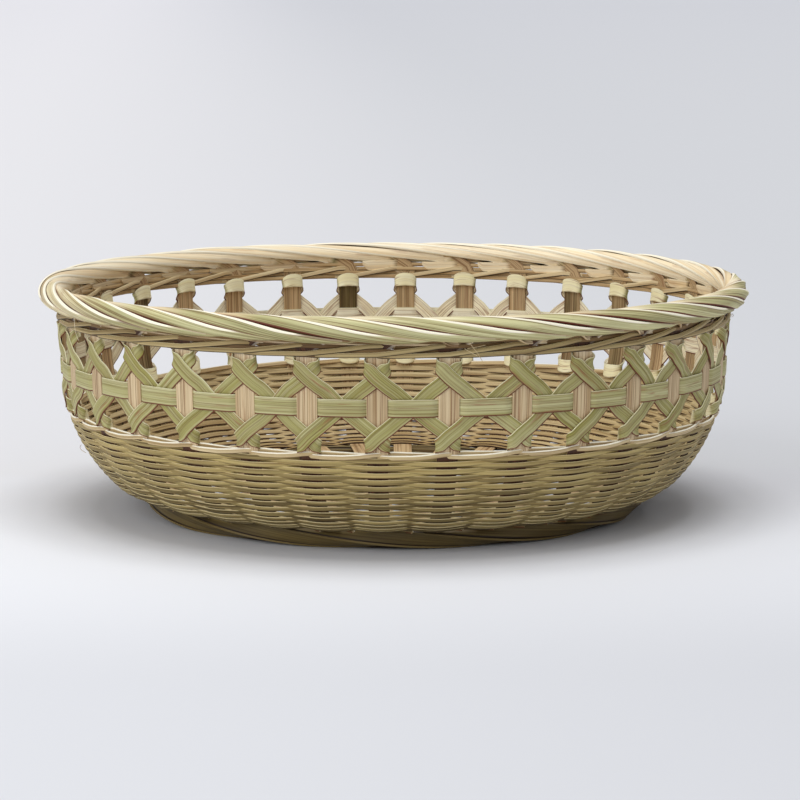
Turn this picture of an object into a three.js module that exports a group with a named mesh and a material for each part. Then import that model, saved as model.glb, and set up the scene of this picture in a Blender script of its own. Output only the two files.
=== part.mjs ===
// Round openwork bamboo fruit basket, made the way it is woven. Sixteen long splints cross under the
// bowl, rise as thirty-two stakes and are laid down one over the next as the rolled rim. Rows of weft,
// a lattice band that loops round every stake, a belt and a wale keep the stakes at their spacing.
// Millimetres, +Z up. The origin is the middle of the circle that the foot stands on.
import * as THREE from "three";

// Splints: each one is two stakes and two rim strands, so there are four stakes to a lane.
const LANES = 8;
const STAKE_WIDTH = 8.6;
const STAKE_THICKNESS = 0.8;
const CLEARANCE = 0.25;
const ROW_CLEARANCE = 0.4;

// Floor of the bowl, an open check weave of the splints
const FLOOR_HEIGHT = 9.5;
const LANE_PITCH = 17;

// Profile of the bowl, at mid-thickness of the stakes
const FLOOR_RADIUS = 111;
const TURN_RADIUS = 25;
const TURN_LEAN = THREE.MathUtils.degToRad(47);
const WALL_CURVE_RADIUS = 75;
const WALL_LEAN = THREE.MathUtils.degToRad(88);

// Where the stakes bend: equal steps round the turn, and shares of the way from there to the band
const TURN_STEPS = 3;
const WALL_BENDS = [0.26, 0.6];

// Woven wall
const ROWS = 10;
const ROW_THICKNESS = 0.7;
const ROW_SPACE = 0.5;
const FIRST_ROW_LENGTH = 3;

// Open band with its belt and lattice
const BAND_BOTTOM = 47.5;
const BAND_HEIGHT = 39.8;
const STRIP_THICKNESS = 0.5;
const BELT_WIDTH = 6.4;
const BELT_BOW = 0.5;
const LATTICE_WIDTH = 5.6;
const LOOP_REACH = 1.3;
const LATTICE_SLACK = 0.1;
const LATTICE_TILT = 0.85;
const LATTICE_STRIPS = [
  { name: "lattice_strip_outer", divesBy: 1, crossesBy: 1 },
  { name: "lattice_strip_inner", divesBy: 1.7, crossesBy: 2.6 },
];

// Wale under the rim
const WALE_ROWS = 2;
const WALE_WIDTH = 2.7;
const WALE_THICKNESS = 0.7;

// Rolled rim
const ROLL_RADIUS = 4.9;
const ROLL_ENTRY = THREE.MathUtils.degToRad(225);
const STRANDS_IN_ROLL = 5;
const STRAND_RUN = 4.5;
const STRAND_WIDTH = 5.4;
const STRAND_THICKNESS = 1.0;
const CORE_SIZE = 4.6;

// Foot ring
const FOOT_INSET = 6;
const FOOT_HOOP_THICKNESS = 1.6;
const FOOT_STRANDS = 3;
const FOOT_TWISTS = 6;
const FOOT_ROPE_RADIUS = 1.9;
const FOOT_STRAND_WIDTH = 4.2;
const FOOT_STRAND_THICKNESS = 1.2;
const FOOT_LIFT = 0.3;
const STEPS_PER_TWIST = 6;

// Values that follow from the sizes above
const STAKES = LANES * 4;
const STAKE_STEP = (2 * Math.PI) / STAKES;
const BAND_TOP = BAND_BOTTOM + BAND_HEIGHT;
const BAND_MIDDLE = BAND_BOTTOM + BAND_HEIGHT / 2;
const WALE_TOP = BAND_TOP + WALE_ROWS * WALE_WIDTH + (WALE_ROWS + 1) * CLEARANCE;
const FOOT_HOOP_RADIUS = FLOOR_RADIUS - FOOT_INSET;

const UP = new THREE.Vector3(0, 0, 1);
const outward = (angle) => new THREE.Vector3(Math.cos(angle), Math.sin(angle), 0);
const along = (angle) => new THREE.Vector3(-Math.sin(angle), Math.cos(angle), 0);
const stakeAngle = (index) => (index + 0.5) * STAKE_STEP;

// The sum of vectors, each given with its share.
function mix(...pairs) {
  const sum = new THREE.Vector3();
  for (const [vector, share] of pairs) sum.addScaledVector(vector, share);
  return sum;
}

const materials = {
  stake: new THREE.MeshStandardMaterial({ color: "#b89a72", roughness: 0.62, metalness: 0 }),
  weft: new THREE.MeshStandardMaterial({ color: "#b3a36c", roughness: 0.6, metalness: 0 }),
  green: new THREE.MeshStandardMaterial({ color: "#97955f", roughness: 0.55, metalness: 0 }),
  wale: new THREE.MeshStandardMaterial({ color: "#a08a58", roughness: 0.6, metalness: 0 }),
  core: new THREE.MeshStandardMaterial({ color: "#c6b583", roughness: 0.65, metalness: 0 }),
  foot: new THREE.MeshStandardMaterial({ color: "#8d8350", roughness: 0.6, metalness: 0 }),
};

const basket = new THREE.Group();

// One flat strip of bamboo, lofted through cross-sections. A section has its middle, a side vector
// from there to one edge and a face vector from there to one face. A closed strip is a hoop. Opposite
// faces are split along the same diagonal, so that they stay apart where the strip twists.
function addStrip(name, material, sections, closed) {
  const points = [];
  for (const { middle, side, face } of sections) {
    for (const [s, f] of [[1, 1], [-1, 1], [-1, -1], [1, -1]]) {
      points.push(mix([middle, 1], [side, s], [face, f]));
    }
  }
  const triangles = [];
  const spans = closed ? sections.length : sections.length - 1;
  for (let i = 0; i < spans; i += 1) {
    const here = 4 * i;
    const next = 4 * ((i + 1) % sections.length);
    for (const k of [0, 1]) {
      const [l, opposite, last] = [k + 1, k + 2, (k + 3) % 4];
      triangles.push([here + k, here + l, next + k], [here + l, next + l, next + k]);
      triangles.push([here + opposite, here + last, next + last]);
      triangles.push([here + opposite, next + last, next + opposite]);
    }
  }
  if (!closed) {
    const end = 4 * spans;
    triangles.push([0, 2, 1], [0, 3, 2], [end, end + 1, end + 2], [end, end + 2, end + 3]);
  }
  const volume = triangles.reduce(
    (sum, [a, b, c]) => sum + points[a].dot(points[b].clone().cross(points[c])),
    0,
  );
  const geometry = new THREE.BufferGeometry().setFromPoints(points);
  geometry.setIndex(triangles.flatMap(([a, b, c]) => (volume > 0 ? [a, b, c] : [a, c, b])));
  geometry.computeVertexNormals();
  const mesh = new THREE.Mesh(geometry, material);
  mesh.name = name;
  basket.add(mesh);
}

// Profile of the bowl by length from the foot of the wall: flat floor, tight turn, long open curve,
// then straight up. Gives radius, height and lean, the angle of the wall above the floor.
const TURN_LENGTH = TURN_RADIUS * TURN_LEAN;
const CURVE_LENGTH = WALL_CURVE_RADIUS * (WALL_LEAN - TURN_LEAN);
function profile(length) {
  const turn = THREE.MathUtils.clamp(length, 0, TURN_LENGTH) / TURN_RADIUS;
  const curve = THREE.MathUtils.clamp(length - TURN_LENGTH, 0, CURVE_LENGTH) / WALL_CURVE_RADIUS;
  const lean = turn + curve;
  const rest = Math.min(length, 0) + Math.max(length - TURN_LENGTH - CURVE_LENGTH, 0);
  const radius =
    FLOOR_RADIUS +
    TURN_RADIUS * Math.sin(turn) +
    WALL_CURVE_RADIUS * (Math.sin(lean) - Math.sin(turn)) +
    rest * Math.cos(lean);
  const height =
    FLOOR_HEIGHT +
    TURN_RADIUS * (1 - Math.cos(turn)) +
    WALL_CURVE_RADIUS * (Math.cos(turn) - Math.cos(lean)) +
    rest * Math.sin(lean);
  return { radius, height, lean };
}

// The length along the profile at which the wall reaches a height.
function lengthAt(height) {
  let low = 0;
  let high = 2 * (TURN_LENGTH + CURVE_LENGTH + WALE_TOP);
  while (high - low > 1e-6) {
    const middle = (low + high) / 2;
    if (profile(middle).height < height) low = middle;
    else high = middle;
  }
  return low;
}

// The stakes are straight between these stations, and what crosses them is placed on the same lines.
const TURN_TOP = profile(TURN_LENGTH).height;
const STATIONS = [];
for (let step = 0; step <= TURN_STEPS; step += 1) STATIONS.push((step / TURN_STEPS) * TURN_LENGTH);
for (const share of WALL_BENDS) STATIONS.push(lengthAt(TURN_TOP + share * (BAND_BOTTOM - TURN_TOP)));
for (const height of [BAND_BOTTOM, BAND_MIDDLE, BAND_TOP, WALE_TOP]) STATIONS.push(lengthAt(height));

function onStations(length) {
  const last = STATIONS.length - 1;
  const found = STATIONS.findIndex((station) => station > length);
  const next = found < 0 ? last : Math.max(found, 1);
  const a = profile(STATIONS[next - 1]);
  const b = profile(STATIONS[next]);
  const share = (length - STATIONS[next - 1]) / (STATIONS[next] - STATIONS[next - 1]);
  const lean = Math.atan2(b.height - a.height, b.radius - a.radius);
  const radius = a.radius + share * (b.radius - a.radius);
  return { radius, height: a.height + share * (b.height - a.height), lean };
}

// Directions on the wall: normal points out of the bowl, rise points up the wall.
const normalAt = (angle, lean) => mix([outward(angle), Math.sin(lean)], [UP, -Math.cos(lean)]);
const riseAt = (angle, lean) => mix([outward(angle), Math.cos(lean)], [UP, Math.sin(lean)]);

// A point at an angle round the basket and a length up the wall, standing out of the stakes' middle.
function onWall(angle, length, out) {
  const { radius, height, lean } = onStations(length);
  return mix([outward(angle), radius], [UP, height], [normalAt(angle, lean), out]);
}

// A section of a strip that runs round the wall, with both its edges the same distance off the stakes.
function wallSection(angle, length, out, width, thickness) {
  const top = onWall(angle, length + width / 2, out);
  const bottom = onWall(angle, length - width / 2, out);
  const side = mix([top, 0.5], [bottom, -0.5]);
  const face = along(angle).cross(side).normalize().multiplyScalar(thickness / 2);
  return { middle: mix([top, 0.5], [bottom, 0.5]), side, face };
}

// Long splints
const FLOOR_LIFT = (STAKE_THICKNESS + CLEARANCE) / 2 / (1 - STAKE_WIDTH / LANE_PITCH);
const rimFoot = profile(STATIONS[STATIONS.length - 1]);
const ROLL_BOTTOM_CLEARANCE = ROLL_RADIUS + STRAND_THICKNESS / 2 + 2 * CLEARANCE;
const ROLL_HEIGHT = rimFoot.height + ROLL_BOTTOM_CLEARANCE;
const ROLL_CENTRE = rimFoot.radius - ROLL_RADIUS * Math.cos(ROLL_ENTRY);
const STRAND_TURN = (2 * Math.PI) / STRANDS_IN_ROLL;
const STRAND_SLOPE = Math.atan2(ROLL_RADIUS * STRAND_TURN, ROLL_CENTRE * STAKE_STEP);

// One rim strand's cross-section, a number of stake spacings after the stake that it comes from.
function strandSection(stake, spacings) {
  const angle = stake + spacings * STAKE_STEP;
  const around = ROLL_ENTRY - spacings * STRAND_TURN;
  const away = mix([outward(angle), Math.cos(around)], [UP, Math.sin(around)]);
  const across = mix([outward(angle), -Math.sin(around)], [UP, Math.cos(around)]);
  const middle = mix([outward(angle), ROLL_CENTRE], [UP, ROLL_HEIGHT], [away, ROLL_RADIUS]);
  const side =
    spacings === 0
      ? mix([across, 1], [along(angle), 1])
      : mix([across, Math.cos(STRAND_SLOPE)], [along(angle), Math.sin(STRAND_SLOPE)]);
  return {
    middle,
    side: side.multiplyScalar(STRAND_WIDTH / 2),
    face: away.multiplyScalar(STRAND_THICKNESS / 2),
  };
}

// Half of a long splint, from the middle of the floor out along x and up to the end of its strand.
function splintArm(lane, direction) {
  const offset = (lane - (LANES - 1) / 2) * LANE_PITCH;
  const turn = (lane - (LANES - 1) / 2) * STAKE_STEP;
  const angle = direction > 0 ? turn : Math.PI - turn;
  const thick = STAKE_THICKNESS / 2;
  const wide = STAKE_WIDTH / 2;
  const straight = new THREE.Vector3(0, direction, 0);
  const floorUp = UP.clone().multiplyScalar(thick);
  const sections = [];
  for (let n = 0; n < LANES / 2; n += 1) {
    const crossing = direction > 0 ? LANES / 2 + n : LANES / 2 - 1 - n;
    const lift = (crossing + lane) % 2 === 0 ? FLOOR_LIFT : -FLOOR_LIFT;
    const middle = new THREE.Vector3(direction * (n + 0.5) * LANE_PITCH, offset, FLOOR_HEIGHT + lift);
    sections.push({ middle, side: mix([straight, wide]), face: floorUp });
  }
  const fanStart = new THREE.Vector3((direction * LANES * LANE_PITCH) / 2, offset, FLOOR_HEIGHT);
  const fanEnd = mix([outward(angle), FLOOR_RADIUS], [UP, FLOOR_HEIGHT]);
  const fanAcross = UP.clone().cross(fanEnd.clone().sub(fanStart)).normalize();
  const bend = (a, b) => mix([a, 1], [b, 1]).normalize().multiplyScalar(wide);
  sections.push({ middle: fanStart, side: bend(straight, fanAcross), face: floorUp });
  for (const [index, station] of STATIONS.entries()) {
    const { radius, height, lean } = profile(station);
    sections.push({
      middle: mix([outward(angle), radius], [UP, height]),
      side: index === 0 ? bend(fanAcross, along(angle)) : along(angle).multiplyScalar(wide),
      face: normalAt(angle, index === 0 ? 0 : lean).multiplyScalar(-thick),
    });
  }
  for (let spacings = 0; spacings <= STRAND_RUN; spacings += 0.5) {
    sections.push(strandSection(angle, spacings));
  }
  return sections;
}

function addSplint(name, lane, quarter) {
  const near = splintArm(lane, 1);
  const far = splintArm(lane, -1).reverse();
  for (const section of far) section.side = section.side.clone().negate();
  const turned = [...far, ...near].map(({ middle, side, face }) => ({
    middle: middle.clone().applyAxisAngle(UP, quarter),
    side: side.clone().applyAxisAngle(UP, quarter),
    face: face.clone().applyAxisAngle(UP, quarter),
  }));
  addStrip(name, materials.stake, turned, false);
}

for (let lane = 0; lane < LANES; lane += 1) {
  addSplint(`splint_lengthwise_${lane + 1}`, lane, 0);
  addSplint(`splint_crosswise_${lane + 1}`, lane, Math.PI / 2);
}

// A hoop of weft that passes outside one stake and inside the next. It stands out far enough for its
// straight runs to clear the stakes' edges, and bows out by what a straight run cuts off the circle.
function addWeftHoop(name, material, length, width, thickness, clearance, parity) {
  const { radius, lean } = onStations(length);
  const share = STAKE_WIDTH / 2 / (radius * Math.sin(STAKE_STEP));
  const need = STAKE_THICKNESS / 2 + clearance + thickness / 2;
  const swing = need / (1 - 2 * share);
  const bow = share * radius * (1 - Math.cos(STAKE_STEP)) * Math.sin(lean);
  const sections = [];
  for (let stake = 0; stake < STAKES; stake += 1) {
    const angle = stakeAngle(stake);
    const out = bow + ((stake + parity) % 2 === 0 ? swing : -swing);
    sections.push(wallSection(angle, length, out, width, thickness));
  }
  addStrip(name, material, sections, true);
}

const rowPitch = (lengthAt(BAND_BOTTOM) - CLEARANCE - FIRST_ROW_LENGTH) / ROWS;
for (let row = 0; row < ROWS; row += 1) {
  const length = FIRST_ROW_LENGTH + (row + 0.5) * rowPitch;
  const name = `wall_row_${row + 1}`;
  addWeftHoop(name, materials.weft, length, rowPitch - ROW_SPACE, ROW_THICKNESS, ROW_CLEARANCE, row);
}

for (let row = 0; row < WALE_ROWS; row += 1) {
  const height = BAND_TOP + CLEARANCE + WALE_WIDTH / 2 + row * (WALE_WIDTH + CLEARANCE);
  const name = `rim_wale_${row + 1}`;
  const length = lengthAt(height);
  addWeftHoop(name, materials.wale, length, WALE_WIDTH, WALE_THICKNESS, CLEARANCE, row);
}

// Belt: inside every stake, and bowed out between them
const beltLength = lengthAt(BAND_MIDDLE);
const beltRadius = onStations(beltLength).radius;
const halfGap = beltRadius * Math.sin(STAKE_STEP / 2);
const beltClear = STAKE_THICKNESS / 2 + CLEARANCE + STRIP_THICKNESS / 2;
const beltEdgeShare = STAKE_WIDTH / 2 / halfGap;
const beltSag = beltRadius * (1 - Math.cos(STAKE_STEP / 2));
const beltAtStake = -(beltClear + (BELT_BOW - beltSag) * beltEdgeShare) / (1 - beltEdgeShare);
const beltSections = [];

// How far the belt's middle stands out of the stakes, at a run along the band from a stake.
function beltOut(run) {
  const share = run / halfGap;
  return beltAtStake + share * (BELT_BOW - beltAtStake) - (run * (halfGap - run)) / (2 * beltRadius);
}

for (let half = 0; half < 2 * STAKES; half += 1) {
  const angle = stakeAngle(half / 2);
  const out = half % 2 === 0 ? beltAtStake : BELT_BOW;
  beltSections.push(wallSection(angle, beltLength, out, BELT_WIDTH, STRIP_THICKNESS));
}
addStrip("band_belt", materials.green, beltSections, true);

// Lattice: each strip runs in front of a stake, round it and back over itself, at the top of one stake
// and at the bottom of the next, and passes behind the belt half way between them.
const LAYER = STRIP_THICKNESS + CLEARANCE;
const loopSide = STAKE_WIDTH / 2 + LOOP_REACH;
const loopRise = BAND_HEIGHT / 2 - CLEARANCE - LATTICE_WIDTH / 2;
const legRun = loopSide + (beltRadius * STAKE_STEP) / 2;
const legSlope = Math.atan2(loopRise, legRun);
const stepAcross = (Math.sin(legSlope) * LATTICE_WIDTH) / 2;
const stepUp = (Math.cos(legSlope) * LATTICE_WIDTH) / 2;
const legRise = (run) => ((legRun - loopSide - run) * loopRise) / legRun;
const overStake = STAKE_THICKNESS / 2 + CLEARANCE + STRIP_THICKNESS / 2;

// A point beside a stake: a run along the band, a rise from its middle and a distance out.
function besideStake(stake, run, rise, out) {
  const length = lengthAt(BAND_MIDDLE + rise);
  return onWall(stakeAngle(stake) + run / beltRadius, length, out);
}

// A section across a leg. One edge is turned to the belt, and the two stand out by their own amounts.
function legSection(stake, way, run, rise, hand, beltEdgeOut, farEdgeOut) {
  const upper = way > 0 ? farEdgeOut : beltEdgeOut;
  const lower = way > 0 ? beltEdgeOut : farEdgeOut;
  const lean = way * hand * stepAcross;
  const top = besideStake(stake, hand * run + lean, way * rise + stepUp, upper);
  const bottom = besideStake(stake, hand * run - lean, way * rise - stepUp, lower);
  const angle = stakeAngle(stake) + (hand * run) / beltRadius;
  return {
    middle: mix([top, 0.5], [bottom, 0.5]),
    side: mix([top, 0.5], [bottom, -0.5]),
    face: normalAt(angle, WALL_LEAN).multiplyScalar(STRIP_THICKNESS / 2),
  };
}

// A section at one of the four corners of the loop behind the stake.
function cornerSection(stake, way, hand, front, out) {
  const angle = stakeAngle(stake) + (hand * loopSide) / beltRadius;
  const { lean } = onStations(lengthAt(BAND_MIDDLE + way * loopRise));
  const half = STRIP_THICKNESS / 2;
  return {
    middle: besideStake(stake, hand * loopSide, way * loopRise, out),
    side: riseAt(angle, lean).multiplyScalar(LATTICE_WIDTH / 2),
    face: mix([normalAt(angle, lean), front * half], [along(angle), hand * half]),
  };
}

// A strip lies so many layers behind the belt: where it dives under the edge, and where it crosses.
function addLattice(name, parity, divesBy, crossesBy) {
  const edgeRun = STAKE_WIDTH / 2 + CLEARANCE + stepAcross;
  const diveRise = BELT_WIDTH / 2 + CLEARANCE + stepUp;
  const diveRun = legRun - loopSide - (diveRise * legRun) / loopRise;
  const diveOut = beltOut(diveRun - stepAcross) - divesBy * LAYER - LATTICE_SLACK;
  const farOut = diveOut + LATTICE_TILT;
  const crossingOut = BELT_BOW - crossesBy * LAYER - LATTICE_SLACK;
  const outer = overStake + LAYER;
  const sections = [];
  for (let stake = 0; stake < STAKES; stake += 1) {
    const way = (stake + parity) % 2 === 0 ? 1 : -1;
    sections.push(
      legSection(stake, way, diveRun, diveRise, -1, diveOut, farOut),
      legSection(stake, way, edgeRun, legRise(edgeRun), -1, overStake, overStake),
      cornerSection(stake, way, 1, 1, overStake),
      cornerSection(stake, way, 1, -1, -overStake),
      cornerSection(stake, way, -1, -1, -overStake),
      cornerSection(stake, way, -1, 1, outer),
      legSection(stake, way, edgeRun, legRise(edgeRun), 1, outer, outer),
      legSection(stake, way, diveRun, diveRise, 1, diveOut, farOut),
      legSection(stake, way, legRun - loopSide, 0, 1, crossingOut, crossingOut),
    );
  }
  addStrip(name, materials.green, sections, true);
}

for (const [index, { name, divesBy, crossesBy }] of LATTICE_STRIPS.entries()) {
  addLattice(name, index, divesBy, crossesBy);
}

// Core hoop inside the rolled rim
const coreSections = [];
for (let stake = 0; stake < STAKES; stake += 1) {
  const angle = stakeAngle(stake);
  coreSections.push({
    middle: mix([outward(angle), ROLL_CENTRE], [UP, ROLL_HEIGHT]),
    side: outward(angle).multiplyScalar(CORE_SIZE / 2),
    face: UP.clone().multiplyScalar(CORE_SIZE / 2),
  });
}
addStrip("rim_core", materials.core, coreSections, true);

// Foot: an upright hoop under the splints, with three splints twisted round as a rope outside it
const hoopHeight = FLOOR_HEIGHT - STAKE_THICKNESS / 2 - CLEARANCE;
const hoopSections = [];
for (let stake = 0; stake < STAKES; stake += 1) {
  const angle = stakeAngle(stake);
  hoopSections.push({
    middle: mix([outward(angle), FOOT_HOOP_RADIUS], [UP, hoopHeight / 2]),
    side: UP.clone().multiplyScalar(hoopHeight / 2),
    face: outward(angle).multiplyScalar(FOOT_HOOP_THICKNESS / 2),
  });
}
addStrip("foot_hoop", materials.foot, hoopSections, true);

const ropeReach = Math.hypot(FOOT_ROPE_RADIUS + FOOT_STRAND_THICKNESS / 2, FOOT_STRAND_WIDTH / 2);
const ropeRadius = FOOT_HOOP_RADIUS + FOOT_HOOP_THICKNESS / 2 + CLEARANCE + ropeReach;
for (let strand = 0; strand < FOOT_STRANDS; strand += 1) {
  const sections = [];
  for (let step = 0; step < FOOT_TWISTS * STEPS_PER_TWIST; step += 1) {
    const angle = (step / (FOOT_TWISTS * STEPS_PER_TWIST)) * 2 * Math.PI;
    const around = (strand / FOOT_STRANDS) * 2 * Math.PI - angle * FOOT_TWISTS;
    const away = mix([outward(angle), Math.cos(around)], [UP, Math.sin(around)]);
    const across = mix([outward(angle), -Math.sin(around)], [UP, Math.cos(around)]);
    sections.push({
      middle: mix([outward(angle), ropeRadius], [UP, FOOT_LIFT + ropeReach], [away, FOOT_ROPE_RADIUS]),
      side: across.multiplyScalar(FOOT_STRAND_WIDTH / 2),
      face: away.multiplyScalar(FOOT_STRAND_THICKNESS / 2),
    });
  }
  addStrip(`foot_strand_${strand + 1}`, materials.foot, sections, true);
}

export default basket;
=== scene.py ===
# Openwork bamboo fruit basket. Every strip of split bamboo is swept along its own woven path.
# Lengths are in millimetres and reach Blender in metres, apart from the table's, which are in
# metres. Places round the basket are counted in stakes: a whole number is a stake, and a half lies
# midway between two.
from collections import namedtuple
from math import cos, pi, radians, sin, tau

import bmesh
import bpy
import numpy as np
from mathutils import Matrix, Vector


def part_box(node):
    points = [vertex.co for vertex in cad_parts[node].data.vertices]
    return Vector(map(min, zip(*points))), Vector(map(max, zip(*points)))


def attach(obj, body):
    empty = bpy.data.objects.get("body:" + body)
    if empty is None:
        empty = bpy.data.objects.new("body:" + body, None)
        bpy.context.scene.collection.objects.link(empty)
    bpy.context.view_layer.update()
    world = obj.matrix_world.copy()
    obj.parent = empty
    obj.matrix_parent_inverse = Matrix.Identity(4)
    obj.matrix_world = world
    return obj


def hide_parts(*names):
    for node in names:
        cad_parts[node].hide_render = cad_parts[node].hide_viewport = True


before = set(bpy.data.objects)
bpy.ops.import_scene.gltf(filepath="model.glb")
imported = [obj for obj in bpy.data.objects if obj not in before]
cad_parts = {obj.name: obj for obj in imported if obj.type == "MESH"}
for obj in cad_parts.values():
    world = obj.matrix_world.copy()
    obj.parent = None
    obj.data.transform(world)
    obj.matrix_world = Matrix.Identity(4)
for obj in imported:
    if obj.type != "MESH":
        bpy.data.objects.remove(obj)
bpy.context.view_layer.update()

MM = 0.001
UP = np.array([0.0, 0.0, 1.0])
rng = np.random.default_rng(20)

# Splints, and the floor that they cross in
LANES = 8
STAKES = 32
STEP = tau / STAKES
STAKE_WIDTH = 8.7
STAKE_THICKNESS = 0.8
LANE_PITCH = 17.0
FLOOR_WAVE = 0.75
# How far each hand-set stake stands from its even place, in degrees
STAKE_OFFSETS = [
    0.2, 0.4, 0.7, 0.6, 0.3, 0.7, -0.1, 0.0, -0.3, -0.7, 0.0, -0.3, -0.3, 0.2, -0.2, 0.3,
    0.1, -0.2, -0.3, -0.1, 0.2, 0.45, -0.3, -0.35, -0.25, 0.55, 0.15, -0.15, -0.7, 0.1, -0.2, 0.1,
]

# Profile of the bowl: flat floor, tight turn, long open curve, then straight up
FLOOR_HEIGHT = 9.5
FLOOR_RADIUS = 111.0
TURN_RADIUS = 25.0
TURN_LEAN = radians(47)
WALL_CURVE_RADIUS = 75.0
WALL_LEAN = radians(88)
TURN_LENGTH = TURN_RADIUS * TURN_LEAN
CURVE_LENGTH = WALL_CURVE_RADIUS * (WALL_LEAN - TURN_LEAN)

# Heights that the solids give
BAND_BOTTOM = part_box("wall_row_10")[1].z / MM
BAND_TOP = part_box("rim_wale_1")[0].z / MM
BAND_MIDDLE = (BAND_BOTTOM + BAND_TOP) / 2
WALE_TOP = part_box("rim_wale_2")[1].z / MM
ROLL_HEIGHT = (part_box("rim_core")[0].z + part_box("rim_core")[1].z) / 2 / MM
FOOT_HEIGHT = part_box("foot_hoop")[1].z / MM

# Rolled rim. A strand comes up inside the roll and turns by STRAND_TURN from stake to stake
ROLL_CENTRE = 154.2
ROLL_RADIUS = 4.4
ROLL_ENTRY = radians(235)
STRAND_TURN = radians(54)
STRAND_START = 0.3
STRAND_END = 5.6
STRAND_WIDTH = 5.1
STRAND_THICKNESS = 1.05
STRAND_TILT = radians(15)
CORE_WIDTH = 7.2
# A rod under the core fills the gap under the roll, dark outside as painted shade
UNDER_CORE_RADIUS = 150.8
UNDER_CORE_HEIGHT = 94.3

# Tails of the strands, tucked in under the roll. They end so many stakes on, and at each of
# TAIL_SHARES they are at an angle round the roll, in degrees, and a distance from its middle
# The last field is how much paler the tail is painted, a painted highlight in the roll's shade
Tail = namedtuple("Tail", "end around radius width bleached")
SHORT_TAIL = Tail(6.75, [-98, -126, -131], [3.4, 6.4, 7.4], 4.2, 1.0)
LONG_TAIL = Tail(7.5, [-98, -122, -129], [3.4, 6.0, 7.2], 2.6, 0.6)
TAIL_SHARES = [0, 0.36, 1]
TAIL_START = 5.8
TAIL_SLANT = 2.5

# Woven wall and its twined edge
ROWS = 30
FIRST_ROW = 1.2
ROW_THICKNESS = 0.8
ROW_CLEARANCE = 0.2
EDGE_ROOM = 2.6
EDGE_DROP = 1.5
EDGE_RODS = 2

# Wale
WALE_RODS = 3
FILLER_PITCH = 1.9

# Band. The belt lies a little higher at the back
BELT_HEIGHT = BAND_MIDDLE - 1.0
BELT_RISE = 2.6
BELT_RADIUS = 151.5
BELT_WIDTH = 7.5
BELT_INSIDE = 0.7
BELT_BOW = 1.6
STRIP_THICKNESS = 0.5
LATTICE_WIDTH = 6.4
LOOP_UP = 1.07
LOOP_DOWN = 0.98
# One loop round a stake: run from the stake, rise from the belt, distance out, and which way it faces
LOOP = [
    (-8.4, 5.7, 0.05, 0), (-4.6, 8.6, 0.62, 0), (0.0, 12.2, 0.82, 0), (3.2, 15.3, 0.8, 6),
    (5.0, 17.2, 0.0, 80), (4.6, 18.1, -1.5, 115), (2.8, 19.0, -2.6, 155), (0.0, 19.4, -2.9, 180),
    (-2.8, 19.0, -2.6, 205), (-4.6, 18.1, -1.5, 245), (-5.0, 17.2, 0.1, 280), (-3.2, 15.3, 1.32, 354),
    (0.0, 12.2, 1.42, 360), (4.6, 8.6, 1.15, 360), (8.4, 5.7, 0.1, 360),
]

# Foot: an upright hoop with splints twisted round as a rope outside it
FOOT_HOOP_RADIUS = 105.0
FOOT_HOOP_THICKNESS = 1.6
ROPE_STRANDS = 4
ROPE_TWISTS = 3
ROPE_CENTRE = 108.4
ROPE_HEIGHT = 5.15
ROPE_RADIUS = 3.2
ROPE_STRAND_WIDTH = 6.2
ROPE_STRAND_THICKNESS = 1.1
ROPE_TILT = radians(10)

# Loose ends
CUT_ENDS = 58
CUT_END_RADIUS = 112.0
CUT_END_HEIGHT = 8.5
CUT_END_WIDTH = 1.4
CUT_END_THICKNESS = 0.8
STRAY_FIBRES = 14
FIBRE_RADIUS = 155.0
FIBRE_OUT = 3.2
FIBRE_WIDTH = 0.24
FIBRE_THICKNESS = 0.2

# Camera, fitted to the photograph
CAMERA_DISTANCE = 1524.0
CAMERA_HEIGHT = 50.0
CAMERA_ELEVATION = radians(8.3)
CAMERA_AZIMUTH = radians(-93.38)
CAMERA_LENS = 150.7
CAMERA_SHIFT = (0.008, -0.005)

# A strip has the middles of its sections, with half its width and half its thickness as vectors.
# Its tone runs from light to dark. Its zone says which side is its upper edge, how pale it is,
# which on the roll and its tails is a painted highlight, where -1 is painted shade on covered pith,
# and how far it belongs to the rim
Strip = namedtuple("Strip", "middle side face tone zone", defaults=[(1.0, 0.0, 0.0)])


# Places and directions


def unit(vectors):
    return vectors / np.linalg.norm(vectors, axis=-1, keepdims=True)


def radial(angle):
    angle = np.asarray(angle, float)
    return np.stack([np.cos(angle), np.sin(angle), np.zeros_like(angle)], -1)


def column(values):
    return np.asarray(values, float)[..., None]


def smooth_step(x):
    x = np.clip(x, 0, 1)
    return x * x * (3 - 2 * x)


def ripple(waves=(2, 3, 5, 7, 11, 17)):
    """A gentle irregular wave round the basket, as a function of the place in stakes."""
    parts = [(count, rng.normal() / len(waves) ** 0.5, rng.uniform(0, tau)) for count in waves]
    return lambda index: sum(size * np.sin(count * index * STEP + start) for count, size, start in parts)


def wall_profile(length):
    """Radius, height and lean of the bowl, by the length up from the foot of the wall."""
    length = np.asarray(length, float)
    turn = np.clip(length, 0, TURN_LENGTH) / TURN_RADIUS
    lean = turn + np.clip(length - TURN_LENGTH, 0, CURVE_LENGTH) / WALL_CURVE_RADIUS
    rest = np.minimum(length, 0) + np.maximum(length - TURN_LENGTH - CURVE_LENGTH, 0)
    radius = FLOOR_RADIUS + TURN_RADIUS * np.sin(turn) + rest * np.cos(lean)
    radius = radius + WALL_CURVE_RADIUS * (np.sin(lean) - np.sin(turn))
    height = FLOOR_HEIGHT + TURN_RADIUS * (1 - np.cos(turn)) + rest * np.sin(lean)
    height = height + WALL_CURVE_RADIUS * (np.cos(turn) - np.cos(lean))
    return radius, height, lean


PROFILE_LENGTHS = np.linspace(0, 140, 1401)
PROFILE_HEIGHTS = wall_profile(PROFILE_LENGTHS)[1]


def length_at(height):
    """The length up the wall at which it reaches a height."""
    return np.interp(height, PROFILE_HEIGHTS, PROFILE_LENGTHS)


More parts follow.
